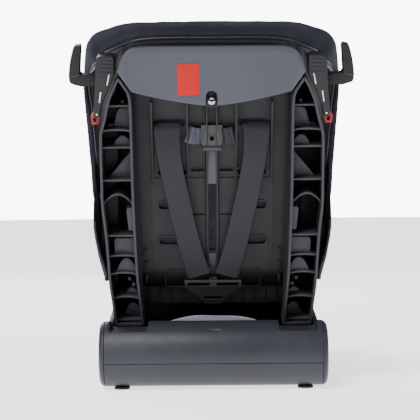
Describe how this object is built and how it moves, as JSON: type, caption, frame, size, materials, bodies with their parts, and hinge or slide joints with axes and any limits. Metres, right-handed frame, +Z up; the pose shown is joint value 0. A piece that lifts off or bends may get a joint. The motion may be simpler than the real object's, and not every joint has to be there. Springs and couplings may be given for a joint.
{
  "type": "convertible car seat",
  "caption": "Convertible child car seat: padded bucket shell with harness and buckle, ribbed back with belt guides and clamps, reclining on runners in its base.",
  "frame": {"origin": "centre of the model's bounding box, on its bottom face, where the feet stand", "axes": "+Z up; the seat faces -Y, so its ribbed back is at +Y; X is the plane of symmetry's normal, with the sitter's left at +X"},
  "size_m": [0.469, 0.524, 0.5959],
  "materials": {
    "black_plastic": "moulded black plastic with a fine satin grain",
    "slate_plastic": "moulded dark slate plastic, satin",
    "grey_plastic": "moulded dark grey plastic, satin",
    "red_plastic": "moulded red plastic",
    "red_label": "blank red vinyl label",
    "cover_fabric": "dark navy woven cover fabric over foam",
    "pad_fabric": "charcoal woven fabric over foam",
    "webbing": "charcoal polyester harness webbing",
    "steel": "plated steel",
    "rubber": "black rubber",
    "paper": "folded white coated paper, blank"
  },
  "bodies": {
    "base": {"base_lower_shell": "slate_plastic", "base_upper_cover": "slate_plastic", "base_end_cap_left": "slate_plastic", "base_end_cap_right": "slate_plastic", "base_rail_left": "slate_plastic", "base_rail_right": "slate_plastic", "foot_pad_rear_left": "rubber", "foot_pad_rear_right": "rubber", "foot_pad_front_left": "rubber", "foot_pad_front_right": "rubber", "instruction_leaflet": "paper", "handle_axle": "steel", "handle_bracket_left": "slate_plastic", "handle_bracket_right": "slate_plastic", "handle_spring": "steel"},
    "shell": {"shell_bucket": "black_plastic", "rocker_left": "black_plastic", "rocker_right": "black_plastic", "rear_column_left": "black_plastic", "rear_column_right": "black_plastic", "belt_guide_left": "black_plastic", "belt_guide_right": "black_plastic", "buckle_body": "black_plastic", "adjuster_housing": "black_plastic", "belt_clamp_left": "slate_plastic", "belt_clamp_right": "slate_plastic", "pad_anchor_plate": "slate_plastic", "rear_crossbar": "grey_plastic", "warning_label_blank": "red_label", "rim_cover": "cover_fabric", "side_pad_left": "cover_fabric", "side_pad_right": "cover_fabric", "head_pillow": "cover_fabric", "seat_pad": "pad_fabric", "back_pad": "pad_fabric", "shoulder_pad_left": "pad_fabric", "shoulder_pad_right": "pad_fabric", "crotch_pad": "pad_fabric", "shoulder_strap_left": "webbing", "shoulder_strap_right": "webbing", "lap_strap_left": "webbing", "lap_strap_right": "webbing", "rear_strap_left": "webbing", "rear_strap_right": "webbing", "pad_anchor_band_left": "webbing", "pad_anchor_band_right": "webbing", "crotch_strap": "webbing", "adjuster_strap": "webbing", "frame_screw": "steel", "clamp_pin_left": "steel", "clamp_pin_right": "steel", "buckle_tongue_left": "steel", "buckle_tongue_right": "steel", "splitter_plate": "steel"},
    "recline_handle": {"recline_handle": "slate_plastic", "recline_latch_bar": "steel"},
    "clamp_lever_left": {"clamp_lever_left": "red_plastic"},
    "clamp_lever_right": {"clamp_lever_right": "red_plastic"},
    "buckle_button": {"buckle_button": "red_plastic"},
    "adjuster_button": {"adjuster_button": "slate_plastic"}
  },
  "joints": [
    {"name": "recline", "type": "hinge", "parent": "base", "child": "shell", "pos_m": [0, -0.01, 0.56], "axis": [-1, 0, 0], "range_deg": [0, 12]},
    {"name": "recline_lever", "type": "hinge", "parent": "base", "child": "recline_handle", "pos_m": [0, -0.218, 0.158], "axis": [-1, 0, 0], "range_deg": [0, 10], "stiffness_Nm_per_rad": 1.2, "springref_deg": -14.32},
    {"name": "clamp_lever_left_swing", "type": "hinge", "parent": "shell", "child": "clamp_lever_left", "pos_m": [0.1875, 0.20058, 0.453], "axis": [0, -0.9701, 0.2425], "range_deg": [0, 60]},
    {"name": "clamp_lever_right_swing", "type": "hinge", "parent": "shell", "child": "clamp_lever_right", "pos_m": [-0.1875, 0.20058, 0.453], "axis": [0, 0.9701, -0.2425], "range_deg": [0, 60]},
    {"name": "buckle_button_press", "type": "slide", "parent": "shell", "child": "buckle_button", "axis": [0, 0.866, -0.5], "range_m": [0, 0.004], "stiffness_N_per_m": 600, "springref_m": -0.003},
    {"name": "adjuster_button_press", "type": "hinge", "parent": "shell", "child": "adjuster_button", "pos_m": [0, -0.2535, 0.2], "axis": [-1, 0, 0], "range_deg": [0, 9], "stiffness_Nm_per_rad": 0.3, "springref_deg": -8.59}
  ]
}
